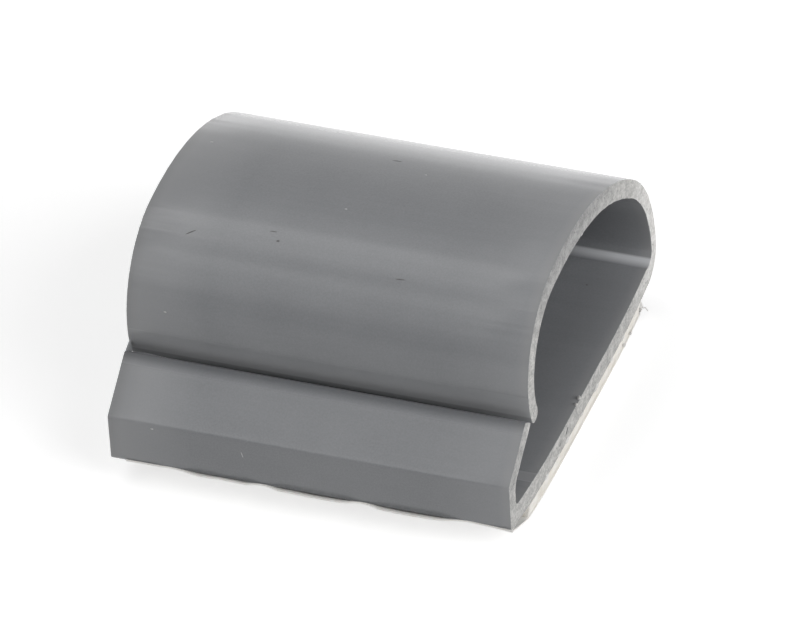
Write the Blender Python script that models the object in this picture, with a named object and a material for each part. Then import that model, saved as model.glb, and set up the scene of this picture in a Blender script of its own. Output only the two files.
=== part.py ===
"""Adhesive-backed wire clip, cut from one continuous PVC extrusion.

The clip is a single strip of varying wall, drawn as a cross-section and extruded along X. From its tip the
springy flap rises behind the front flange, arches over the channel, comes down the thin rear hinge and
turns through the heel into the base, which runs forward to the front wall and the sloping flange. Wires
are pushed in past the flap's tip. A strip of foam tape under the base sticks the clip to a surface, and a
paper release liner still covers the tape.

Metres, +Z up. X runs along the extrusion, Y from the front wall to the rear. The cross-section is drawn with
y = 0 at the front face and z = 0 at the lowest point of the base, and then moved so that the part's origin
is the centre of its footprint, on the surface that it stands on.
"""

import math

import bpy
import bmesh

# Length of the piece, cut from the extrusion.
CUT_LENGTH = 0.0254

# Base. It bows down a little between the front and the rear, from a flat strip that it rests on.
BASE_WALL = 0.0013
BOW_RADIUS = 0.055
REST_STRIP_WIDTH = 0.008

# Front wall, and the flange that slopes back from its bend towards the flap. The flange's end is slanted, so
# that its inner lip reaches further than its outer edge.
FRONT_WALL = 0.00105
BEND_HEIGHT = 0.00402
FLANGE_ANGLE = math.radians(36.0)
FLANGE_LENGTH = 0.00415
FLANGE_WALL = 0.00105
FLANGE_LIP_LEAD = 0.0003
FRONT_EDGE_RADIUS = 0.00025
FRONT_CORNER_RADIUS = 0.0004
BEND_OUTER_RADIUS = 0.00025
BEND_INNER_RADIUS = 0.0012
FLANGE_EDGE_RADIUS = 0.00015

# Flap and arch: four arcs that run into one another, each with its own radius.
CREST_HEIGHT = 0.01386
FLAP_RADIUS = 0.0059
FLAP_SWEEP = math.radians(81.0)
CROWN_RADIUS = 0.0187
CROWN_SWEEP = math.radians(48.0)
SHOULDER_RADIUS = 0.0089
HEEL_RADIUS = 0.0020
FLAP_DROP = 0.0019
MOUTH_GAP = 0.00015

# Wall of the arch at the flap, at the crest and at the rear, where it flexes.
FLAP_WALL = 0.00108
CROWN_WALL = 0.00142
HINGE_WALL = 0.00080

# Foam tape and its release liner, each held off by a thin bond line.
TAPE_WIDTH = 0.0205
TAPE_SETBACK = 0.0032
TAPE_THICKNESS = 0.0008
BOND_LINE = 0.0001
LINER_THICKNESS = 0.0001
LINER_FRONT_OVERHANG = 0.0003
LINER_REAR_OVERHANG = 0.0002
LINER_CLEARANCE = 0.0001

# Facets: the most that one facet of a curve turns, the fewest in any curve, and the turn that stays sharp.
FACET_ANGLE = math.radians(5.0)
BOW_FACETS = 8
FEWEST_FACETS = 3
SHARP_ANGLE = math.radians(30.0)

# Colour and roughness of each material.
PVC_COLOUR, PVC_ROUGHNESS = (0.205, 0.212, 0.222), 0.45
FOAM_COLOUR, FOAM_ROUGHNESS = (0.80, 0.76, 0.66), 0.9
PAPER_COLOUR, PAPER_ROUGHNESS = (0.86, 0.85, 0.82), 0.6

LEFT, UP, RIGHT, DOWN = math.pi, math.pi / 2, 0.0, -math.pi / 2


def polar(centre, radius, angle):
    """The point at this angle on a circle in the (y, z) plane."""
    return (centre[0] + radius * math.cos(angle), centre[1] + radius * math.sin(angle))


def arc(centre, radius, start, end, facets=None):
    """Points along an arc, both ends included."""
    facets = facets or max(FEWEST_FACETS, math.ceil(abs(end - start) / FACET_ANGLE))
    return [polar(centre, radius, start + (end - start) * i / facets) for i in range(facets + 1)]


def towards(start, end):
    """The angle of the direction from one point to another."""
    return math.atan2(end[1] - start[1], end[0] - start[0])


def next_centre(centre, radius, angle, next_radius):
    """Centre of the arc that carries on smoothly, at this angle, from an arc of another radius."""
    return polar(centre, radius - next_radius, angle)


def meeting_point(centre_a, reach_a, centre_b, reach_b):
    """The point at these distances from two centres that lies to the right, looking from a to b."""
    span = math.dist(centre_a, centre_b)
    along = (span**2 + reach_a**2 - reach_b**2) / (2 * span)
    aside = math.sqrt(reach_a**2 - along**2)
    foot = polar(centre_a, along, towards(centre_a, centre_b))
    return polar(foot, aside, towards(centre_a, centre_b) + DOWN)


def round_corner(before, corner, after, radius):
    """Points of the arc that rounds a corner between two straight runs."""
    turn_in, turn_out = towards(corner, before), towards(corner, after)
    half = math.acos(math.cos(turn_in - turn_out)) / 2
    bisector = math.atan2(math.sin(turn_in) + math.sin(turn_out), math.cos(turn_in) + math.cos(turn_out))
    centre = polar(corner, radius / math.sin(half), bisector)
    reach = radius / math.tan(half)
    start = towards(centre, polar(corner, reach, turn_in))
    end = towards(centre, polar(corner, reach, turn_out))
    turn = math.remainder(end - start, 2 * math.pi)
    return arc(centre, radius, start, start + turn)


class Section:
    """The clip's cross-section: its centres, and the outlines of its three pieces."""

    def __init__(self):
        self.draw_flange()
        self.place_arch()
        self.place_bow()

    def draw_flange(self):
        """The bend and the two corners at the flange's free end."""
        outwards = FLANGE_ANGLE + UP
        self.bend = (0.0, BEND_HEIGHT)
        self.flange_top = polar(self.bend, FLANGE_LENGTH, FLANGE_ANGLE)
        square_corner = polar(self.flange_top, -FLANGE_WALL, outwards)
        self.flange_lip = polar(square_corner, FLANGE_LIP_LEAD, FLANGE_ANGLE)
        start = polar(self.bend, -FLANGE_WALL, outwards)
        run = (FRONT_WALL - start[0]) / math.cos(FLANGE_ANGLE)
        self.inner_bend = polar(start, run, FLANGE_ANGLE)

    def place_arch(self):
        """Centres of the arch's arcs. The flap clears the flange's lip by the mouth's gap."""
        self.crown_start = LEFT - FLAP_SWEEP
        self.shoulder_start = self.crown_start - CROWN_SWEEP
        flap_z = CREST_HEIGHT - CROWN_RADIUS - (FLAP_RADIUS - CROWN_RADIUS) * math.sin(self.crown_start)
        lip_y, lip_z = self.flange_lip
        flap_y = lip_y + math.sqrt((FLAP_RADIUS + MOUTH_GAP) ** 2 - (flap_z - lip_z) ** 2)
        self.flap = (flap_y, flap_z)
        self.crown = next_centre(self.flap, FLAP_RADIUS, self.crown_start, CROWN_RADIUS)
        self.shoulder = next_centre(self.crown, CROWN_RADIUS, self.shoulder_start, SHOULDER_RADIUS)
        self.depth = self.shoulder[0] + SHOULDER_RADIUS
        self.tip_angle = LEFT + math.asin(FLAP_DROP / (FLAP_RADIUS - FLAP_WALL / 2))

    def place_bow(self):
        """Centres of the base's bow, in front of and behind its flat strip, and of the heel and front edges."""
        middle = self.depth / 2
        self.bow_front = (middle - REST_STRIP_WIDTH / 2, BOW_RADIUS)
        self.bow_rear = (middle + REST_STRIP_WIDTH / 2, BOW_RADIUS)
        self.heel = meeting_point(
            self.shoulder, SHOULDER_RADIUS - HEEL_RADIUS, self.bow_rear, BOW_RADIUS - HEEL_RADIUS
        )
        self.heel_start = towards(self.shoulder, self.heel)
        self.heel_end = towards(self.bow_rear, self.heel)
        self.bow_end = DOWN - math.asin(self.bow_front[0] / BOW_RADIUS)

    def wall_at(self, angle):
        """Wall of the arch where its outer face points this way."""
        stops = [
            (LEFT, FLAP_WALL),
            (UP, CROWN_WALL),
            (RIGHT, HINGE_WALL),
            (self.heel_end, BASE_WALL),
        ]
        if angle >= LEFT:
            return FLAP_WALL
        for (high, wall_high), (low, wall_low) in zip(stops, stops[1:]):
            if angle >= low:
                return wall_low + (wall_high - wall_low) * (angle - low) / (high - low)
        return BASE_WALL

    def arch_faces(self):
        """Outer and inner points of the strip, from the flap's tip over the crest to the end of the heel."""
        stretches = [
            (self.flap, FLAP_RADIUS, self.tip_angle, self.crown_start),
            (self.crown, CROWN_RADIUS, self.crown_start, self.shoulder_start),
            (self.shoulder, SHOULDER_RADIUS, self.shoulder_start, self.heel_start),
            (self.heel, HEEL_RADIUS, self.heel_start, self.heel_end),
        ]
        outer, inner = [], []
        for centre, radius, start, end in stretches:
            facets = max(FEWEST_FACETS, math.ceil(abs(end - start) / FACET_ANGLE))
            for i in range(facets):
                angle = start + (end - start) * i / facets
                outer.append(polar(centre, radius, angle))
                inner.append(polar(centre, radius - self.wall_at(angle), angle))
        return outer, inner

    def bow_face(self, offset):
        """The base's face this far above its underside, from the heel forward to the front wall's corner."""
        radius = BOW_RADIUS - offset
        rear = arc(self.bow_rear, radius, self.heel_end, DOWN, BOW_FACETS)
        return rear + arc(self.bow_front, radius, DOWN, self.bow_end, BOW_FACETS)

    def front_corner(self, face_y, offset, radius):
        """Arc between the base's face at this offset and the front wall's face at this y."""
        reach = BOW_RADIUS - offset - radius
        aside = self.bow_front[0] - face_y - radius
        centre = (face_y + radius, self.bow_front[1] - math.sqrt(reach**2 - aside**2))
        return arc(centre, radius, towards(self.bow_front, centre) % (2 * math.pi), LEFT)

    def base_to_front(self, face_y, offset, radius):
        """The base's face and the corner in which it meets the front wall."""
        corner = self.front_corner(face_y, offset, radius)
        return [point for point in self.bow_face(offset) if point[0] > corner[0][0]] + corner

    def nose(self):
        """Round end of the flap, from its inner face to its outer face."""
        centre = polar(self.flap, FLAP_RADIUS - FLAP_WALL / 2, self.tip_angle)
        return arc(centre, FLAP_WALL / 2, self.tip_angle + math.pi, self.tip_angle)[1:-1]

    def body_outline(self):
        outer, inner = self.arch_faces()
        outside = outer + self.base_to_front(0.0, 0.0, FRONT_EDGE_RADIUS)
        inside = inner + self.base_to_front(FRONT_WALL, BASE_WALL, FRONT_CORNER_RADIUS)
        flange = (
            round_corner(outside[-1], self.bend, self.flange_top, BEND_OUTER_RADIUS)
            + round_corner(self.bend, self.flange_top, self.flange_lip, FLANGE_EDGE_RADIUS)
            + round_corner(self.flange_top, self.flange_lip, self.inner_bend, FLANGE_EDGE_RADIUS)
            + round_corner(self.flange_lip, self.inner_bend, inside[-1], BEND_INNER_RADIUS)
        )
        return outside + flange + inside[::-1] + self.nose()

    def under_face(self, drop, front_y, rear_y):
        """A line this far below the base's underside, from rear_y forward to front_y."""
        radius = BOW_RADIUS + drop
        rear = math.asin((rear_y - self.bow_rear[0]) / radius)
        front = math.asin((self.bow_front[0] - front_y) / radius)
        behind = arc(self.bow_rear, radius, DOWN + rear, DOWN, BOW_FACETS)
        return behind + arc(self.bow_front, radius, DOWN, DOWN - front, BOW_FACETS)

    def tape_outline(self):
        rear = TAPE_SETBACK + TAPE_WIDTH
        upper = self.under_face(BOND_LINE, TAPE_SETBACK, rear)
        lower = self.under_face(BOND_LINE + TAPE_THICKNESS, TAPE_SETBACK, rear)
        return upper + lower[::-1]

    def liner_outline(self):
        """The liner lies under the tape, and its front margin lifts to meet the clip's front edge."""
        rear = TAPE_SETBACK + TAPE_WIDTH + LINER_REAR_OVERHANG
        drop = BOND_LINE + TAPE_THICKNESS + BOND_LINE
        upper = self.under_face(drop, TAPE_SETBACK, rear)
        lower = self.under_face(drop + LINER_THICKNESS, TAPE_SETBACK, rear)
        edge = self.front_corner(0.0, 0.0, FRONT_EDGE_RADIUS)[0]
        under_edge = (edge[0], edge[1] - LINER_CLEARANCE)
        lift = towards(upper[-1], under_edge)
        run = (upper[-1][0] + LINER_FRONT_OVERHANG) / -math.cos(lift)
        end = polar(upper[-1], run, lift)
        crease = math.tan((lift - math.pi - towards(upper[-1], upper[-2])) / 2)
        turn = polar(upper[-1], -LINER_THICKNESS * crease, lift)
        return upper + [end, polar(end, LINER_THICKNESS, lift + UP), polar(turn, LINER_THICKNESS, lift + UP)] + (
            lower[-2::-1]
        )


def make_material(name, colour, roughness):
    material = bpy.data.materials.new(name)
    material.use_nodes = True
    shader = material.node_tree.nodes["Principled BSDF"]
    shader.inputs["Base Color"].default_value = (*colour, 1.0)
    shader.inputs["Roughness"].default_value = roughness
    shader.inputs["Metallic"].default_value = 0.0
    return material


def extrude_outline(name, outline, shift, material):
    """A solid of this outline, as long as the cut, centred on X."""
    mesh = bpy.data.meshes.new(name)
    shape = bmesh.new()
    corners = [shape.verts.new((-CUT_LENGTH / 2, y + shift[0], z + shift[1])) for y, z in outline]
    end_face = shape.faces.new(corners)
    grown = bmesh.ops.extrude_face_region(shape, geom=[end_face])["geom"]
    far_corners = [item for item in grown if isinstance(item, bmesh.types.BMVert)]
    bmesh.ops.translate(shape, verts=far_corners, vec=(CUT_LENGTH, 0.0, 0.0))
    bmesh.ops.recalc_face_normals(shape, faces=shape.faces)
    shape.to_mesh(mesh)
    shape.free()
    mesh.shade_smooth()
    mesh.set_sharp_from_angle(angle=SHARP_ANGLE)
    mesh.materials.append(material)
    piece = bpy.data.objects.new(name, mesh)
    bpy.context.scene.collection.objects.link(piece)
    return piece


def main():
    for old in list(bpy.data.objects):
        bpy.data.objects.remove(old)

    section = Section()
    outlines = {
        "clip_body": section.body_outline(),
        "foam_tape": section.tape_outline(),
        "release_liner": section.liner_outline(),
    }
    points = [point for outline in outlines.values() for point in outline]
    nearest = min(y for y, z in points)
    furthest = max(y for y, z in points)
    lowest = min(z for y, z in points)
    shift = (-(nearest + furthest) / 2, -lowest)

    materials = {
        "clip_body": make_material("grey_pvc", PVC_COLOUR, PVC_ROUGHNESS),
        "foam_tape": make_material("cream_foam", FOAM_COLOUR, FOAM_ROUGHNESS),
        "release_liner": make_material("liner_paper", PAPER_COLOUR, PAPER_ROUGHNESS),
    }
    for name, outline in outlines.items():
        extrude_outline(name, outline, shift, materials[name])


main()
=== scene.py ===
"""Looks of a wire clip: a short length sawn from a grey PVC extrusion, on foam tape with its paper liner.

Every main piece starts from a copy of its CAD node, so it keeps the size and place that the node gives it. The
body gets sawn ends with broken rims, the tape gets ragged cut ends, and the liner gets a wavy front margin.
The burrs and crumbs that the saw left are small pieces of their own.

Metres, +Z up, X along the extrusion with the near end at +X, the front flange towards -Y.
"""

import math

import bmesh
import bpy
from mathutils import Matrix, Vector


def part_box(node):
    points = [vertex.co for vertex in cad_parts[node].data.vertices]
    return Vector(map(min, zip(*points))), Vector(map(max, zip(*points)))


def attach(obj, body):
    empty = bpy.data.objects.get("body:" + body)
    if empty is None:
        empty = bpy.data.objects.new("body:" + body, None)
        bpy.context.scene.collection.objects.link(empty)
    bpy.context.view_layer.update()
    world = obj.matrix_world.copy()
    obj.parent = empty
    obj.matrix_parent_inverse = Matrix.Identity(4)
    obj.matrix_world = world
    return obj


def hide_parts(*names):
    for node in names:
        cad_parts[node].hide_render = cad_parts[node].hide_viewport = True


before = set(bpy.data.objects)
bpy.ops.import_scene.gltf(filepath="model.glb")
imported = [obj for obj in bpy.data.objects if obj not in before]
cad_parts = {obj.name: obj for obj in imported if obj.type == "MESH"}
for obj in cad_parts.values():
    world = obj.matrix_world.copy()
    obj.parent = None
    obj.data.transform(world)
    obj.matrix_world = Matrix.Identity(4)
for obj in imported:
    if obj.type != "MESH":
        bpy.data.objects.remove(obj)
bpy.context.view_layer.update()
half_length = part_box("clip_body")[1].x

MM = 0.001

# Camera: the photograph's viewing angle, with the point that it looks at, for an image of 800 by 640.
VIEW_AZIMUTH = math.radians(22.142)
VIEW_ELEVATION = math.radians(37.447)
VIEW_ROLL = math.radians(-3.892)
VIEW_AIM = Vector((1.41, -0.76, 6.0)) * MM
VIEW_DISTANCE = 603.6 * MM
VIEW_LENS = 452.2
VIEW_NEAR = 50 * MM
VIEW_FAR = 5.0

# Body: how finely the extrusion is cut along its length, and how the saw left the rims of its ends.
MERGE_DISTANCE = 0.001 * MM
LENGTHWISE_SHARE = 0.9
FLAT_ANGLE = math.radians(0.3)
LENGTH_CUTS = 31
LONG_RIM_EDGE = 0.7 * MM
RIM_CUTS = 7
RIM_BREAK = 0.04 * MM
RIM_WANDER = 0.03 * MM
RIM_STEADY = 0.09 * MM
RIM_SUPPORT = 0.10 * MM
ARCH_FOOT = 8.0 * MM
ARCH_FACET = math.radians(15.0)
ARCH_ROUNDING = 34.0
SMOOTH_ANGLE = math.radians(40.0)

# Foam tape, pressed out against the base and the liner. Its near cut leans in towards the bottom.
TAPE_BREAK = 0.05 * MM
TAPE_CUTS = 47
TAPE_WANDER = 0.03 * MM
TAPE_LEAN = 0.14 * MM
TAPE_PRESS = 0.09 * MM

# Release liner: how far its ends stay back, how its near front corner points out, and the waves of its front edge.
LINER_CUTS = 63
LINER_NEAR_SETBACK = 0.10 * MM
LINER_CORNER_BACK = -10.3 * MM
LINER_CORNER_OUT = 0.25 * MM
LINER_FAR_SETBACK = 1.0 * MM
LINER_MARGIN = 0.2 * MM
LINER_LIFT = 0.07 * MM
LINER_WAVE_WIDTH = 0.4 * MM
LINER_WAVES = (
    # place along X, how far the edge goes out, how far it rises, reach of the wave
    (-11.2 * MM, -0.22 * MM, 0.02 * MM, 1.6 * MM),
    (-8.8 * MM, -0.27 * MM, 0.02 * MM, 2.2 * MM),
    (-5.2 * MM, -0.10 * MM, -0.02 * MM, 1.8 * MM),
    (-3.1 * MM, -0.22 * MM, 0.02 * MM, 1.0 * MM),
    (0.6 * MM, 0.00 * MM, -0.04 * MM, 2.0 * MM),
    (3.3 * MM, -0.22 * MM, 0.03 * MM, 1.1 * MM),
    (6.2 * MM, 0.02 * MM, -0.04 * MM, 2.2 * MM),
    (10.0 * MM, -0.30 * MM, 0.03 * MM, 1.9 * MM),
    (12.3 * MM, -0.20 * MM, 0.00 * MM, 1.4 * MM),
)

# Burrs that the saw left: place, half sizes along X, Y and Z, and how ragged each one is.
BURRS = (
    ("tape_end_lump", (12.46, 10.68, 0.90), (0.25, 0.27, 0.42), 0.05),
    ("floor_edge_burr", (12.62, -0.74, 2.44), (0.10, 0.13, 0.12), 0.03),
    ("floor_edge_burr_2", (12.64, -1.35, 2.42), (0.08, 0.10, 0.07), 0.02),
    ("arch_edge_burr", (12.66, 1.04, 13.45), (0.05, 0.16, 0.08), 0.02),
    ("tape_crumb", (12.66, 8.48, 0.46), (0.08, 0.09, 0.09), 0.02),
    ("tape_crumb_2", (12.66, 7.34, 0.44), (0.09, 0.11, 0.10), 0.03),
    ("base_edge_smear", (12.64, -3.30, 1.20), (0.10, 0.40, 0.20), 0.03),
    ("base_edge_smear_2", (12.64, -4.9, 1.24), (0.09, 0.28, 0.14), 0.03),
    ("base_edge_smear_3", (12.64, -7.1, 1.28), (0.10, 0.45, 0.16), 0.03),
    ("base_edge_smear_4", (12.64, -0.6, 1.12), (0.09, 0.36, 0.13), 0.03),
    ("base_edge_smear_5", (12.64, 2.1, 1.12), (0.10, 0.50, 0.17), 0.03),
    ("base_edge_smear_6", (12.64, 4.9, 1.14), (0.09, 0.34, 0.13), 0.03),
    ("base_edge_smear_7", (12.64, 7.0, 1.22), (0.10, 0.44, 0.15), 0.03),
)
BURR_DETAIL = 3

# A torn web that still bridges the slot between the flange and the flap at the far end, and a lump put inside
# the slot as shade, keeping light off the flange's back corner: its place, its half sizes, and how ragged it is.
WEB_PLACE = (-12.6, -9.43, 7.43)
WEB_RADIUS = 0.52 * MM
WEB_THICKNESS = 0.12 * MM
WEB_CUTS = 3
WEB_WANDER = 0.04 * MM
SLOT_SHADE_LUMP = ((-11.62, -9.28, 6.86), (1.10, 0.20, 0.18), 0.03)

# A loose fibre of plastic that stands out from the lump at the tape's rear end.
FIBRE_PLACE = (12.84, 10.80, 0.64)
FIBRE_RADIUS = 0.03 * MM
FIBRE_LENGTH = 0.46 * MM
FIBRE_CUTS = 7
FIBRE_TURN = math.radians(-25.0)
FIBRE_CURL = 0.07 * MM

# Crumbs and scratches on the skin: where each starts and ends, its half width, and whether it is dark.
MARKS = (
    ((-9.75, -6.15, 14.12), (-9.22, -5.81, 14.28), 0.035, True),
    ((-4.12, -5.62, 14.37), (-4.02, -5.60, 14.38), 0.06, True),
    ((-4.78, -5.05, 14.56), (-4.34, -5.03, 14.57), 0.03, True),
    ((3.70, -6.59, 13.86), (4.26, -6.56, 13.88), 0.035, True),
    ((-0.35, 4.12, 14.11), (0.25, 4.12, 14.11), 0.03, True),
    ((-11.30, 2.34, 14.57), (-11.20, 2.34, 14.57), 0.05, False),
    ((-10.27, -9.11, 10.36), (-10.18, -9.11, 10.36), 0.05, False),
    ((2.21, 2.83, 14.46), (2.31, 2.83, 14.46), 0.04, False),
    ((-1.02, -2.23, 14.93), (-0.92, -2.23, 14.93), 0.04, False),
    ((-9.92, -13.32, 4.76), (-9.82, -13.32, 4.76), 0.05, False),
    ((-4.23, -13.32, 4.20), (-4.13, -13.32, 3.85), 0.03, False),
    ((9.54, 9.65, 2.68), (9.62, 9.65, 2.68), 0.04, True),
    ((12.7, -3.40, 1.72), (12.7, -3.12, 1.98), 0.08, True),
    ((12.7, -4.62, 1.70), (12.7, -4.50, 1.84), 0.05, True),
)
MARK_HEIGHT = 0.02 * MM
MARK_RAGGED = 0.12

# Colours of the PVC skin, its sawn ends, the dust and crumbs on it, the tape and the liner.
PVC_DARK = (0.186, 0.193, 0.204, 1.0)
PVC_LIGHT = (0.232, 0.239, 0.250, 1.0)
PVC_PALE_RIM = (0.270, 0.274, 0.280, 1.0)
# Painted light on the flap's skin low in the groove.
PVC_GROOVE_PAINTED_LIGHT = (0.39, 0.395, 0.405, 1.0)
# Painted shade, for the dark line low in the slot and the flange's top edge.
PVC_SHADE = (0.075, 0.078, 0.084, 1.0)
# Painted highlight towards the ends of the skin.
PVC_END_PAINTED_HIGHLIGHT = (0.300, 0.305, 0.315, 1.0)
# Painted reflection in the strip inside the rear corner.
PVC_HINGE_PAINTED_REFLECTION = (0.62, 0.63, 0.65, 1.0)
SAWN_DARK = (0.178, 0.178, 0.178, 1.0)
SAWN_MID = (0.324, 0.324, 0.316, 1.0)
SAWN_LIGHT = (0.583, 0.575, 0.559, 1.0)
# Tones of painted shade for the sawn crest and flange.
CREST_PAINTED_SHADE_MID = (0.211, 0.211, 0.211, 1.0)
CREST_PAINTED_SHADE_PALE = (0.356, 0.356, 0.356, 1.0)
# Tones of painted light for the sawn rear, used again for the burrs.
REAR_PAINTED_LIGHT_MID = (0.551, 0.543, 0.527, 1.0)
REAR_PAINTED_LIGHT_PALE = (0.80, 0.79, 0.775, 1.0)
DUST_DARK = (0.08, 0.08, 0.08, 1.0)
DUST_MID = (0.13, 0.13, 0.13, 1.0)
CRUMB_MID = (0.42, 0.42, 0.42, 1.0)
CRUMB_LIGHT = (0.55, 0.55, 0.55, 1.0)
FOAM_DARK = (0.88, 0.84, 0.77, 1.0)
FOAM_LIGHT = (0.95, 0.93, 0.89, 1.0)
PAPER_DARK = (0.90, 0.88, 0.84, 1.0)
PAPER_LIGHT = (0.95, 0.94, 0.92, 1.0)

# Where the tones of the skin change, each from nothing at the first place to its full strength at the second.
# The paler rim lies beside the saw cuts, the ends carry a wide painted highlight, and the hinge carries a strip of
# painted reflection inside the rear corner. In the groove the flap's skin carries painted light and is duller,
# with a painted shade line low in the slot, and painted shade on the flange's top edge.
PALE_RIM_REACH = 0.55 * MM
PALE_RIM_RAGGED = 0.4 * MM
END_REACH = (7.5 * MM, 12.7 * MM)
END_SIDES = (5.0 * MM, -5.0 * MM)
END_NEAR_TONE = 0.45
HINGE_FRONT = (11.85 * MM, 12.4 * MM)
HINGE_TOP = (3.22 * MM, 3.12 * MM)
HINGE_FADE = (3.0 * MM, 10.5 * MM)
HINGE_FAR_TONE = 0.15
GROOVE_TOP = (8.9 * MM, 7.45 * MM)
GROOVE_BACK = (-8.5 * MM, -8.75 * MM)
GROOVE_FRONT = (-9.55 * MM, -9.40 * MM)
SLOT_TOP = (7.24 * MM, 7.12 * MM)
SLOT_TONE = 0.4
SHADE_FRONT = (-10.65 * MM, -9.95 * MM)
SHADE_BACK = (-9.40 * MM, -9.55 * MM)
SHADE_LOW = (6.7 * MM, 7.0 * MM)
SHADE_TONE = 0.7

# The same for the sawn ends: painted shade makes them greyer at the crest and on the flange, and painted light
# makes them palest at the rear.
CREST_FADE = (11.5 * MM, 14.8 * MM)
REAR_FADE = (9.0 * MM, 12.5 * MM)
FLANGE_FADE = (-9.6 * MM, -10.8 * MM)
FLANGE_RISE = (2.5 * MM, 5.5 * MM)
FLANGE_TONE = 0.5

# Patterns: how often each repeats per metre along X, Y and Z, and the range of a pattern that makes its tones.
SKIN_LINES = (25.0, 2600.0, 2600.0)
SKIN_BANDS = (14.0, 420.0, 420.0)
SKIN_CLOUDS = (260.0, 260.0, 260.0)
FINE_GRAIN = (9000.0, 9000.0, 9000.0)
TORN_FIBRES = (8000.0, 6000.0, 7000.0)
TORN_BLOTCHES = (1500.0, 1500.0, 1500.0)
TORN_HOLES = (4200.0, 3200.0, 4200.0)
FOAM_CELLS = 9000.0
FOAM_BLOTCHES = (1200.0, 1200.0, 1200.0)
PAPER_FIBRES = (2500.0, 5000.0, 2500.0)
SOFT_RANGE = (0.35, 0.65)
TORN_RANGE = (0.41, 0.59)
HOLE_RANGE = (0.35, 0.27)

# Relief and gloss of each finish.
SKIN_RELIEF = 0.006 * MM
TORN_RELIEF = 0.05 * MM
FOAM_RELIEF = 0.05 * MM
PAPER_RELIEF = 0.01 * MM
SKIN_SATIN = (0.20, 0.26)
SKIN_MATT = (0.2, 0.85)
SKIN_IOR = 1.52
TORN_ROUGHNESS = 0.8
DUST_ROUGHNESS = 0.7
FOAM_ROUGHNESS = 0.95
PAPER_ROUGHNESS = 0.5
FLOOR_ROUGHNESS = 0.9

# Light tent: the panels stand round the object at one distance, each with its azimuth, elevation and power.
PANEL_DISTANCE = 0.6
PANEL_SIZE = 0.35
PANELS = (
    ("low_front_left_panel", -35.0, 12.0, 0.12),
    ("front_left_panel", -35.0, 40.0, 0.36),
    ("high_front_left_panel", -35.0, 65.0, 0.33),
    ("high_left_panel", -110.0, 65.0, 0.44),
    ("high_rear_left_panel", -150.0, 65.0, 0.32),
    ("right_panel", 70.0, 40.0, 1.45),
    ("low_right_panel", 70.0, 12.0, 0.68),
    ("low_rear_right_panel", 105.0, 12.0, 1.10),
)
WORLD_FILL = 0.03
FLOOR_GREY = (0.68, 0.68, 0.68, 1.0)
FLOOR_GLOW = 0.62
FLOOR_SHINE = 1.0
FLOOR_SIZE = 3.0


def only(piece):
    """Deselect everything, and make this piece the selected and active one."""
    bpy.ops.object.select_all(action="DESELECT")
    piece.select_set(True)
    bpy.context.view_layer.objects.active = piece


def select(piece, kind, wanted):
    """In edit mode, select only those faces, edges or verts that the test accepts."""
    modes = {"faces": "FACE", "edges": "EDGE", "verts": "VERT"}
    bpy.ops.mesh.select_mode(type=modes[kind])
    bpy.ops.mesh.select_all(action="DESELECT")
    shape = bmesh.from_edit_mesh(piece.data)
    for item in [item for item in getattr(shape, kind) if wanted(item)]:
        item.select_set(True)
    shape.select_flush_mode()
    bmesh.update_edit_mesh(piece.data)


def copy_of(node, name):
    """A merged copy of a CAD node, with one face for each flat stretch, left in edit mode."""
    piece = bpy.data.objects.new(name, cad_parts[node].data.copy())
    bpy.context.scene.collection.objects.link(piece)
    piece.data.materials.clear()
    only(piece)
    bpy.ops.object.mode_set(mode="EDIT")
    bpy.ops.mesh.customdata_custom_splitnormals_clear()
    bpy.ops.mesh.select_all(action="SELECT")
    bpy.ops.mesh.remove_doubles(threshold=MERGE_DISTANCE)
    bpy.ops.mesh.dissolve_limited(angle_limit=FLAT_ANGLE)
    return piece


def lengthwise(edge):
    """True for an edge that runs the whole length of the extrusion."""
    return abs(edge.verts[0].co.x - edge.verts[1].co.x) > LENGTHWISE_SHARE * half_length


def on_rim(edge):
    """True for an edge in the plane of either sawn end."""
    return all(abs(vert.co.x) > half_length - MERGE_DISTANCE for vert in edge.verts)


def finish_shape(piece):
    """Leave edit mode, with faces outwards and smooth shading between the sharp edges."""
    bpy.ops.mesh.select_all(action="SELECT")
    bpy.ops.mesh.normals_make_consistent(inside=False)
    bpy.ops.object.mode_set(mode="OBJECT")
    bpy.ops.object.shade_smooth_by_angle(angle=SMOOTH_ANGLE)
    return piece


def arch_line(edge):
    """True for a lengthwise edge between two facets of the arch that meet at a small angle."""
    return lengthwise(edge) and edge.verts[0].co.z > ARCH_FOOT and edge.calc_face_angle(0.0) < ARCH_FACET


def loose_on_rim(vert):
    """True for a vert in the plane of a sawn end with no short edge beside it, so that it can move."""
    shortest = min(edge.calc_length() for edge in vert.link_edges)
    return abs(vert.co.x) > half_length - MERGE_DISTANCE and shortest > RIM_STEADY


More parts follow.
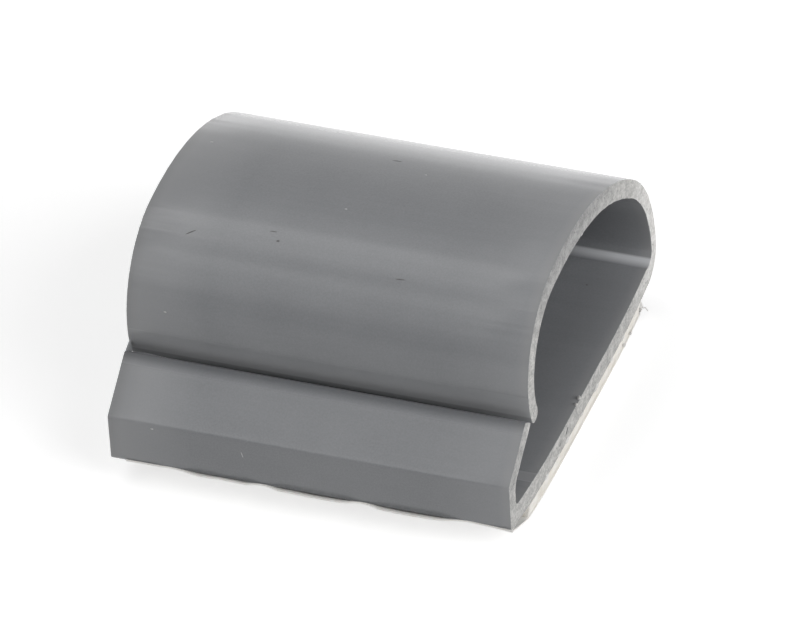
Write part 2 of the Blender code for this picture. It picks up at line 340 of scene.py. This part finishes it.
def sawn_body():
    piece = copy_of("clip_body", "sawn_clip_body")
    select(piece, "edges", arch_line)
    bpy.ops.mesh.bevel(offset_type="PERCENT", offset_pct=ARCH_ROUNDING, segments=3, profile=0.5)
    select(piece, "edges", lambda edge: on_rim(edge) and edge.calc_length() > LONG_RIM_EDGE)
    bpy.ops.mesh.subdivide(number_cuts=RIM_CUTS)
    select(piece, "edges", lengthwise)
    bpy.ops.mesh.subdivide(number_cuts=LENGTH_CUTS)
    for side in (-1.0, 1.0):
        bpy.ops.mesh.select_all(action="SELECT")
        bpy.ops.mesh.bisect(plane_co=(side * (half_length - RIM_SUPPORT), 0.0, 0.0), plane_no=(1.0, 0.0, 0.0))
    select(piece, "verts", loose_on_rim)
    bpy.ops.transform.vertex_random(offset=RIM_WANDER, uniform=0.0, normal=0.0, seed=4)
    for side in (-1.0, 1.0):
        cut = side * half_length
        select(piece, "verts", lambda vert, cut=cut: abs(vert.co.x - cut) < 2 * RIM_WANDER)
        bpy.ops.transform.resize(value=(0.0, 1.0, 1.0), center_override=(cut, 0.0, 0.0))
    select(piece, "edges", on_rim)
    bpy.ops.mesh.bevel(offset=RIM_BREAK, segments=2, profile=0.5)
    finish_shape(piece)
    piece.data.materials.append(pvc_skin())
    piece.data.materials.append(sawn_pvc())
    for face in piece.data.polygons:
        face.material_index = int(abs(face.normal.x) > 0.8)
    return piece


def foam_strip():
    piece = copy_of("foam_tape", "foam_strip")
    select(piece, "edges", lengthwise)
    bpy.ops.mesh.subdivide(number_cuts=TAPE_CUTS)
    select(piece, "verts", lambda vert: max(face.normal.z for face in vert.link_faces) > 0.9)
    bpy.ops.transform.translate(value=(0.0, 0.0, TAPE_PRESS))
    select(piece, "verts", lambda vert: min(face.normal.z for face in vert.link_faces) < -0.9)
    bpy.ops.transform.translate(value=(0.0, 0.0, -TAPE_PRESS))
    select(
        piece,
        "verts",
        lambda vert: vert.co.x > half_length - MERGE_DISTANCE and min(f.normal.z for f in vert.link_faces) < -0.9,
    )
    bpy.ops.transform.translate(value=(-TAPE_LEAN, 0.0, 0.0))
    select(piece, "edges", lambda edge: edge.calc_face_angle(0.0) > SMOOTH_ANGLE)
    bpy.ops.mesh.bevel(offset=TAPE_BREAK, segments=2, profile=0.5)
    select(piece, "verts", lambda vert: abs(vert.co.x) > half_length - TAPE_LEAN - 2 * TAPE_BREAK)
    bpy.ops.transform.vertex_random(offset=TAPE_WANDER, uniform=0.0, normal=0.0, seed=9)
    finish_shape(piece)
    piece.data.materials.append(cut_foam())
    return piece


def paper_liner():
    piece = copy_of("release_liner", "paper_liner")
    select(piece, "edges", lengthwise)
    bpy.ops.mesh.subdivide(number_cuts=LINER_CUTS)
    front = min(vert.co.y for vert in bmesh.from_edit_mesh(piece.data).verts)
    near_end = half_length - LINER_NEAR_SETBACK
    far_end = LINER_FAR_SETBACK - half_length
    select(piece, "verts", lambda vert: vert.co.x > near_end)
    bpy.ops.transform.resize(value=(0.0, 1.0, 1.0), center_override=(near_end, 0.0, 0.0))
    select(piece, "verts", lambda vert: vert.co.x < far_end)
    bpy.ops.transform.resize(value=(0.0, 1.0, 1.0), center_override=(far_end, 0.0, 0.0))
    bpy.ops.mesh.remove_doubles(threshold=MERGE_DISTANCE)
    select(piece, "verts", lambda vert: vert.co.y < front + LINER_MARGIN)
    bpy.ops.transform.translate(value=(0.0, 0.0, LINER_LIFT))
    select(piece, "verts", lambda vert: vert.co.y < LINER_CORNER_BACK and vert.co.x > near_end - MERGE_DISTANCE)
    bpy.ops.transform.translate(value=(LINER_CORNER_OUT, 0.0, 0.0))
    for along, out, rise, reach in LINER_WAVES:
        select(
            piece,
            "verts",
            lambda vert, along=along: vert.co.y < front + LINER_WAVE_WIDTH
            and abs(vert.co.x - along) < LINER_WAVE_WIDTH,
        )
        bpy.ops.transform.translate(
            value=(0.0, -out, rise),
            use_proportional_edit=True,
            proportional_edit_falloff="SMOOTH",
            proportional_size=reach,
        )
    finish_shape(piece)
    piece.data.materials.append(liner_paper())
    return piece


def join_up(pieces, name, material):
    """One object of these pieces, unturned and unscaled, in this material."""
    bpy.ops.object.select_all(action="DESELECT")
    for piece in pieces:
        piece.select_set(True)
    bpy.context.view_layer.objects.active = pieces[0]
    bpy.ops.object.join()
    joined = bpy.context.object
    joined.name = name
    bpy.ops.object.transform_apply(location=True, rotation=True, scale=True)
    joined.data.materials.clear()
    joined.data.materials.append(material)
    bpy.ops.object.shade_smooth_by_angle(angle=SMOOTH_ANGLE)
    return joined


def torn_lump(centre, half_sizes, ragged, seed):
    """A ragged lump of torn plastic, squashed to these half sizes."""
    bpy.ops.object.select_all(action="DESELECT")
    bpy.ops.mesh.primitive_ico_sphere_add(subdivisions=BURR_DETAIL, radius=1.0, location=Vector(centre) * MM)
    lump = bpy.context.object
    bpy.ops.object.mode_set(mode="EDIT")
    bpy.ops.mesh.select_all(action="SELECT")
    bpy.ops.transform.resize(value=Vector(half_sizes) * MM, center_override=lump.location)
    bpy.ops.transform.vertex_random(offset=ragged * MM, uniform=0.4, normal=0.3, seed=seed)
    bpy.ops.object.mode_set(mode="OBJECT")
    return lump


def torn_web():
    """A thin three-cornered web, ragged at its rim, just inside the far end."""
    bpy.ops.object.select_all(action="DESELECT")
    bpy.ops.mesh.primitive_cylinder_add(
        vertices=3,
        radius=WEB_RADIUS,
        depth=WEB_THICKNESS,
        location=Vector(WEB_PLACE) * MM,
        rotation=(0.0, math.radians(90.0), math.radians(180.0)),
    )
    web = bpy.context.object
    bpy.ops.object.mode_set(mode="EDIT")
    bpy.ops.mesh.select_all(action="SELECT")
    bpy.ops.mesh.subdivide(number_cuts=WEB_CUTS)
    bpy.ops.transform.vertex_random(offset=WEB_WANDER, uniform=0.0, normal=0.0, seed=3)
    bpy.ops.object.mode_set(mode="OBJECT")
    return web


def loose_fibre():
    """A short curved fibre that points away from the tape's rear end."""
    bpy.ops.object.select_all(action="DESELECT")
    bpy.ops.mesh.primitive_cylinder_add(
        vertices=8,
        radius=FIBRE_RADIUS,
        depth=FIBRE_LENGTH,
        location=Vector(FIBRE_PLACE) * MM,
        rotation=(0.0, math.radians(90.0), FIBRE_TURN),
    )
    fibre = bpy.context.object
    bpy.ops.object.mode_set(mode="EDIT")
    long_edge = 0.5 * FIBRE_LENGTH
    select(fibre, "edges", lambda edge: edge.calc_length() > long_edge)
    bpy.ops.mesh.subdivide(number_cuts=FIBRE_CUTS)
    select(fibre, "verts", lambda vert: abs(vert.co.z) < 0.1 * FIBRE_LENGTH)
    bpy.ops.transform.translate(
        value=(0.0, FIBRE_CURL, FIBRE_CURL),
        use_proportional_edit=True,
        proportional_edit_falloff="SMOOTH",
        proportional_size=0.5 * FIBRE_LENGTH,
    )
    bpy.ops.object.mode_set(mode="OBJECT")
    return fibre


def saw_burrs():
    """Burrs at the near end and the fibre, of the same torn plastic."""
    lumps = [torn_lump(centre, sizes, ragged, seed) for seed, (_, centre, sizes, ragged) in enumerate(BURRS)]
    return join_up(lumps + [loose_fibre()], "saw_burrs", torn_pvc())


def far_end_web():
    """The torn web, and the lump put in the slot as shade, as grey as the skin beside the saw cut."""
    # A lump in the slot where there is only shade, which keeps light off the flange's back corner.
    shade_lump = torn_lump(*SLOT_SHADE_LUMP, len(BURRS))
    return join_up([torn_web(), shade_lump], "far_end_web", mark_material("torn_web_grey", PVC_LIGHT, PVC_PALE_RIM))


def skin_mark(body, start, end, half_width):
    """A flat crumb or scratch that lies on the body's skin between two points."""
    middle = (Vector(start) + Vector(end)) * 0.5 * MM
    along = (Vector(end) - Vector(start)) * MM
    _, spot, normal, _ = body.closest_point_on_mesh(middle)
    across = normal.cross(along).normalized()
    ahead = across.cross(normal)
    bpy.ops.object.select_all(action="DESELECT")
    bpy.ops.mesh.primitive_uv_sphere_add(segments=12, ring_count=8, radius=1.0, location=(0.0, 0.0, 0.0))
    mark = bpy.context.object
    bpy.ops.object.mode_set(mode="EDIT")
    bpy.ops.mesh.select_all(action="SELECT")
    bpy.ops.transform.vertex_random(offset=MARK_RAGGED, uniform=0.0, normal=0.5, seed=5)
    bpy.ops.transform.resize(
        value=(along.length / 2 + half_width * MM, half_width * MM, MARK_HEIGHT),
        center_override=(0.0, 0.0, 0.0),
    )
    bpy.ops.object.mode_set(mode="OBJECT")
    turn = Matrix((ahead, across, normal)).transposed().to_4x4()
    mark.matrix_world = Matrix.Translation(spot) @ turn
    bpy.context.view_layer.update()
    bpy.ops.object.transform_apply(location=True, rotation=True, scale=True)
    return mark


def skin_marks(body, dark, name, material):
    marks = [skin_mark(body, start, end, width) for start, end, width, is_dark in MARKS if is_dark == dark]
    return join_up(marks, name, material)


def new_material(name):
    material = bpy.data.materials.new(name)
    material.use_nodes = True
    tree = material.node_tree
    return material, tree, tree.nodes["Principled BSDF"]


def node(tree, kind, inputs, **settings):
    """A shader node, with each input either a value or another node's output."""
    made = tree.nodes.new("ShaderNode" + kind)
    for name, value in settings.items():
        setattr(made, name, value)
    for name, value in inputs.items():
        if isinstance(value, bpy.types.NodeSocket):
            tree.links.new(value, made.inputs[name])
        else:
            made.inputs[name].default_value = value
    return made


def place(tree, scale=(1.0, 1.0, 1.0)):
    """Object coordinates, stretched by the scale."""
    where = node(tree, "TexCoord", {}).outputs["Object"]
    return node(tree, "Mapping", {"Vector": where, "Scale": scale}).outputs["Vector"]


def noise(tree, vector, detail=2.0, roughness=0.5):
    inputs = {"Vector": vector, "Scale": 1.0, "Detail": detail, "Roughness": roughness}
    return node(tree, "TexNoise", inputs).outputs["Fac"]


def maths(tree, operation, a, b):
    return node(tree, "Math", {0: a, 1: b}, operation=operation).outputs["Value"]


def spread(tree, value, low, high, to_low=0.0, to_high=1.0):
    """The value, taken from one range to another and kept inside it."""
    inputs = {"Value": value, "From Min": low, "From Max": high, "To Min": to_low, "To Max": to_high}
    return node(tree, "MapRange", inputs).outputs["Result"]


def blend(tree, amount, first, second):
    """A colour between the first and the second."""
    made = node(tree, "Mix", {0: amount, 6: first, 7: second}, data_type="RGBA")
    return made.outputs[2]


def bump(tree, height, distance):
    return node(tree, "Bump", {"Height": height, "Distance": distance, "Strength": 1.0}).outputs["Normal"]


def along_axes(tree):
    """Object coordinates, one value for each axis."""
    where = node(tree, "TexCoord", {}).outputs["Object"]
    return node(tree, "SeparateXYZ", {"Vector": where}).outputs


def pvc_skin():
    """Extruded skin: faint lines and bands along the length, a fine grain, a paler rim by the saw cuts, and by
    place a painted highlight, a painted reflection, painted light and painted shade.
    """
    material, tree, shader = new_material("grey_pvc_skin")
    lines = noise(tree, place(tree, SKIN_LINES), 3.0)
    bands = noise(tree, place(tree, SKIN_BANDS), 2.0)
    grain = noise(tree, place(tree, FINE_GRAIN), 2.0)
    clouds = noise(tree, place(tree, SKIN_CLOUDS), 3.0)
    mix = maths(tree, "ADD", maths(tree, "MULTIPLY", lines, 0.1), maths(tree, "MULTIPLY", bands, 0.2))
    mix = maths(tree, "ADD", mix, maths(tree, "MULTIPLY", grain, 0.4))
    mix = maths(tree, "ADD", mix, maths(tree, "MULTIPLY", clouds, 0.3))
    colour = blend(tree, spread(tree, mix, *SOFT_RANGE), PVC_DARK, PVC_LIGHT)
    axes = along_axes(tree)
    from_middle = maths(tree, "ABSOLUTE", axes["X"], 0.0)
    ragged = maths(tree, "ADD", from_middle, maths(tree, "MULTIPLY", clouds, PALE_RIM_RAGGED))
    # Painted highlight: paler towards both ends, full at the far end and weaker at the near end.
    sides = spread(tree, axes["X"], *END_SIDES, END_NEAR_TONE, 1.0)
    ends = maths(tree, "MULTIPLY", spread(tree, from_middle, *END_REACH), sides)
    colour = blend(tree, ends, colour, PVC_END_PAINTED_HIGHLIGHT)
    # A paler rim on the skin beside the saw cuts, with a ragged inner edge.
    pale_rim = spread(tree, ragged, half_length - PALE_RIM_REACH, half_length)
    colour = blend(tree, pale_rim, colour, PVC_PALE_RIM)
    # Painted reflection: a paler strip inside the rear corner, fading towards the far end.
    corner = maths(tree, "MULTIPLY", spread(tree, axes["Y"], *HINGE_FRONT), spread(tree, axes["Z"], *HINGE_TOP))
    painted_reflection = maths(tree, "MULTIPLY", corner, spread(tree, axes["X"], *HINGE_FADE, HINGE_FAR_TONE, 1.0))
    colour = blend(tree, painted_reflection, colour, PVC_HINGE_PAINTED_REFLECTION)
    # Painted light: the flap's skin low in the groove is paler, and duller as well.
    flap = maths(tree, "MULTIPLY", spread(tree, axes["Y"], *GROOVE_BACK), spread(tree, axes["Y"], *GROOVE_FRONT))
    groove = maths(tree, "MULTIPLY", flap, spread(tree, axes["Z"], *GROOVE_TOP))
    colour = blend(tree, groove, colour, PVC_GROOVE_PAINTED_LIGHT)
    # Painted shade: a dark line low in the slot.
    slot = maths(tree, "MULTIPLY", flap, spread(tree, axes["Z"], *SLOT_TOP, 0.0, SLOT_TONE))
    colour = blend(tree, slot, colour, PVC_SHADE)
    # Painted shade on the flange's top edge and its back corner.
    shade = spread(tree, axes["Y"], *SHADE_FRONT, 0.0, SHADE_TONE)
    shade = maths(tree, "MULTIPLY", shade, spread(tree, axes["Y"], *SHADE_BACK))
    shade = maths(tree, "MULTIPLY", shade, spread(tree, axes["Z"], *SHADE_LOW))
    colour = blend(tree, shade, colour, PVC_SHADE)
    tree.links.new(colour, shader.inputs["Base Color"])
    satin = spread(tree, mix, 0.3, 0.7, *SKIN_SATIN)
    matt = spread(tree, maths(tree, "MAXIMUM", groove, shade), 0.0, 0.5, *SKIN_MATT)
    tree.links.new(maths(tree, "MAXIMUM", satin, matt), shader.inputs["Roughness"])
    relief = maths(tree, "ADD", maths(tree, "MULTIPLY", lines, 0.1), maths(tree, "MULTIPLY", grain, 0.5))
    relief = maths(tree, "ADD", relief, maths(tree, "MULTIPLY", clouds, 0.8))
    tree.links.new(bump(tree, relief, SKIN_RELIEF), shader.inputs["Normal"])
    shader.inputs["IOR"].default_value = SKIN_IOR
    return material


def torn_grain(tree, shader):
    """The even mottle, the wider blotches and the dark pits of torn plastic, as a mix and a pit mask."""
    tear = noise(tree, place(tree, TORN_FIBRES), 4.0, 0.75)
    blotch = noise(tree, place(tree, TORN_BLOTCHES), 2.0)
    mix = maths(tree, "ADD", maths(tree, "MULTIPLY", tear, 0.65), maths(tree, "MULTIPLY", blotch, 0.35))
    holes = noise(tree, place(tree, TORN_HOLES), 2.0, 0.7)
    shader.inputs["Roughness"].default_value = TORN_ROUGHNESS
    tree.links.new(bump(tree, mix, TORN_RELIEF), shader.inputs["Normal"])
    return mix, spread(tree, holes, *HOLE_RANGE)


def sawn_pvc():
    """Sawn end: torn, whitened plastic, with painted light making it palest at the rear, and painted shade making
    it greyest at the crest and greyer on the flange.
    """
    material, tree, shader = new_material("grey_pvc_sawn")
    mix, pits = torn_grain(tree, shader)
    axes = along_axes(tree)
    # Painted shade greys the crest and the flange, and painted light makes the rear palest.
    crest = spread(tree, axes["Z"], *CREST_FADE)
    rear = spread(tree, axes["Y"], *REAR_FADE)
    front = spread(tree, axes["Y"], *FLANGE_FADE)
    flange = maths(tree, "MULTIPLY", front, spread(tree, axes["Z"], *FLANGE_RISE, 0.0, FLANGE_TONE))
    grey = maths(tree, "MAXIMUM", crest, flange)
    tone = spread(tree, mix, *TORN_RANGE)
    colour = blend(tree, tone, SAWN_MID, SAWN_LIGHT)
    colour = blend(tree, grey, colour, blend(tree, tone, CREST_PAINTED_SHADE_MID, CREST_PAINTED_SHADE_PALE))
    colour = blend(tree, rear, colour, blend(tree, tone, REAR_PAINTED_LIGHT_MID, REAR_PAINTED_LIGHT_PALE))
    colour = blend(tree, pits, colour, SAWN_DARK)
    tree.links.new(colour, shader.inputs["Base Color"])
    return material


def torn_pvc():
    """The burrs: the same torn plastic, pale all over, in the sawn rear's tones of painted light."""
    material, tree, shader = new_material("grey_pvc_torn")
    mix, _ = torn_grain(tree, shader)
    # The burrs take the sawn rear's pale tones: painted light over the whitened plastic.
    colour = blend(tree, spread(tree, mix, *TORN_RANGE), SAWN_LIGHT, REAR_PAINTED_LIGHT_PALE)
    tree.links.new(colour, shader.inputs["Base Color"])
    return material


def mark_material(name, dark, light):
    """Dust, crumbs or thin torn plastic: one tone with a fine grain."""
    material, tree, shader = new_material(name)
    grain = noise(tree, place(tree, FINE_GRAIN), 2.0)
    tree.links.new(blend(tree, spread(tree, grain, *SOFT_RANGE), dark, light), shader.inputs["Base Color"])
    shader.inputs["Roughness"].default_value = DUST_ROUGHNESS
    return material


def cut_foam():
    """Closed-cell foam, with its cells open where it was cut."""
    material, tree, shader = new_material("cream_foam_cells")
    cells = node(tree, "TexVoronoi", {"Vector": place(tree), "Scale": FOAM_CELLS}).outputs["Distance"]
    tone = noise(tree, place(tree, FOAM_BLOTCHES), 3.0)
    colour = blend(tree, spread(tree, tone, *SOFT_RANGE), FOAM_DARK, FOAM_LIGHT)
    tree.links.new(colour, shader.inputs["Base Color"])
    shader.inputs["Roughness"].default_value = FOAM_ROUGHNESS
    tree.links.new(bump(tree, cells, FOAM_RELIEF), shader.inputs["Normal"])
    return material


def liner_paper():
    """Coated release paper with a faint fibre."""
    material, tree, shader = new_material("release_paper")
    fibre = noise(tree, place(tree, PAPER_FIBRES), 3.0)
    colour = blend(tree, spread(tree, fibre, *SOFT_RANGE), PAPER_DARK, PAPER_LIGHT)
    tree.links.new(colour, shader.inputs["Base Color"])
    shader.inputs["Roughness"].default_value = PAPER_ROUGHNESS
    tree.links.new(bump(tree, fibre, PAPER_RELIEF), shader.inputs["Normal"])
    return material


def direction(azimuth, elevation):
    """Unit vector towards this azimuth and elevation. Azimuth 0 is the front, and 90 is the near end."""
    flat = math.cos(elevation)
    return Vector((math.sin(azimuth) * flat, -math.cos(azimuth) * flat, math.sin(elevation)))


def add_camera():
    back = direction(VIEW_AZIMUTH, VIEW_ELEVATION)
    right = Vector((math.cos(VIEW_AZIMUTH), math.sin(VIEW_AZIMUTH), 0.0))
    up = back.cross(right)
    turned_right = right * math.cos(VIEW_ROLL) + up * math.sin(VIEW_ROLL)
    turned_up = up * math.cos(VIEW_ROLL) - right * math.sin(VIEW_ROLL)
    camera = bpy.data.objects.new("camera", bpy.data.cameras.new("camera"))
    bpy.context.scene.collection.objects.link(camera)
    turn = Matrix((turned_right, turned_up, back)).transposed().to_4x4()
    camera.matrix_world = Matrix.Translation(VIEW_AIM + back * VIEW_DISTANCE) @ turn
    camera.data.lens = VIEW_LENS
    camera.data.clip_start = VIEW_NEAR
    camera.data.clip_end = VIEW_FAR
    bpy.context.scene.camera = camera


def add_lights():
    for name, azimuth, elevation, power in PANELS:
        lamp = bpy.data.lights.new(name, "AREA")
        lamp.size = PANEL_SIZE
        lamp.energy = power
        towards = direction(math.radians(azimuth), math.radians(elevation))
        placed = bpy.data.objects.new(name, lamp)
        bpy.context.scene.collection.objects.link(placed)
        placed.location = towards * PANEL_DISTANCE
        placed.rotation_euler = towards.to_track_quat("Z", "Y").to_euler()


def seen_and_sent_on(tree):
    """1 for rays from the camera, and 1 for those that a glossy or clear surface sends on."""
    rays = node(tree, "LightPath", {}).outputs
    return rays["Is Camera Ray"], maths(tree, "MAXIMUM", rays["Is Glossy Ray"], rays["Is Transmission Ray"])


def add_world():
    """A white surround, seen at full strength and lighting the object at a lower one."""
    world = bpy.data.worlds.new("white_surround")
    world.use_nodes = True
    tree = world.node_tree
    surround = tree.nodes["Background"]
    surround.inputs["Color"].default_value = (1.0, 1.0, 1.0, 1.0)
    seen = maths(tree, "MAXIMUM", *seen_and_sent_on(tree))
    tree.links.new(spread(tree, seen, 0.0, 1.0, WORLD_FILL, 1.0), surround.inputs["Strength"])
    bpy.context.scene.world = world


def add_floor():
    """A wide pale sheet. It glows to the camera and in reflections, so that it shows white, and takes a shadow."""
    sheet = bpy.data.materials.new("white_floor")
    sheet.use_nodes = True
    tree = sheet.node_tree
    shader = tree.nodes["Principled BSDF"]
    shader.inputs["Base Color"].default_value = FLOOR_GREY
    shader.inputs["Roughness"].default_value = FLOOR_ROUGHNESS
    shader.inputs["Emission Color"].default_value = (1.0, 1.0, 1.0, 1.0)
    seen, sent_on = seen_and_sent_on(tree)
    shine = maths(tree, "MULTIPLY", sent_on, FLOOR_SHINE)
    glow = maths(tree, "MAXIMUM", maths(tree, "MULTIPLY", seen, FLOOR_GLOW), shine)
    tree.links.new(glow, shader.inputs["Emission Strength"])
    bpy.ops.object.select_all(action="DESELECT")
    bpy.ops.mesh.primitive_plane_add(size=FLOOR_SIZE, location=(0.0, 0.0, 0.0))
    floor = bpy.context.object
    floor.name = "floor"
    floor.data.materials.append(sheet)


main_pieces = []
for make, replaced, slot in (
    (sawn_body, "clip_body", "grey_pvc"),
    (foam_strip, "foam_tape", "cream_foam"),
    (paper_liner, "release_liner", "liner_paper"),
):
    made_piece = make()
    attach(made_piece, "root")
    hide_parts(replaced)
    main_pieces.append(made_piece)

for added in (
    saw_burrs(),
    far_end_web(),
    skin_marks(main_pieces[0], True, "dark_marks", mark_material("dark_dust", DUST_DARK, DUST_MID)),
    skin_marks(main_pieces[0], False, "pale_marks", mark_material("pale_crumbs", CRUMB_MID, CRUMB_LIGHT)),
):
    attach(added, "root")

add_camera()
add_lights()
add_world()
add_floor()
bpy.context.scene.view_settings.view_transform = "Standard"
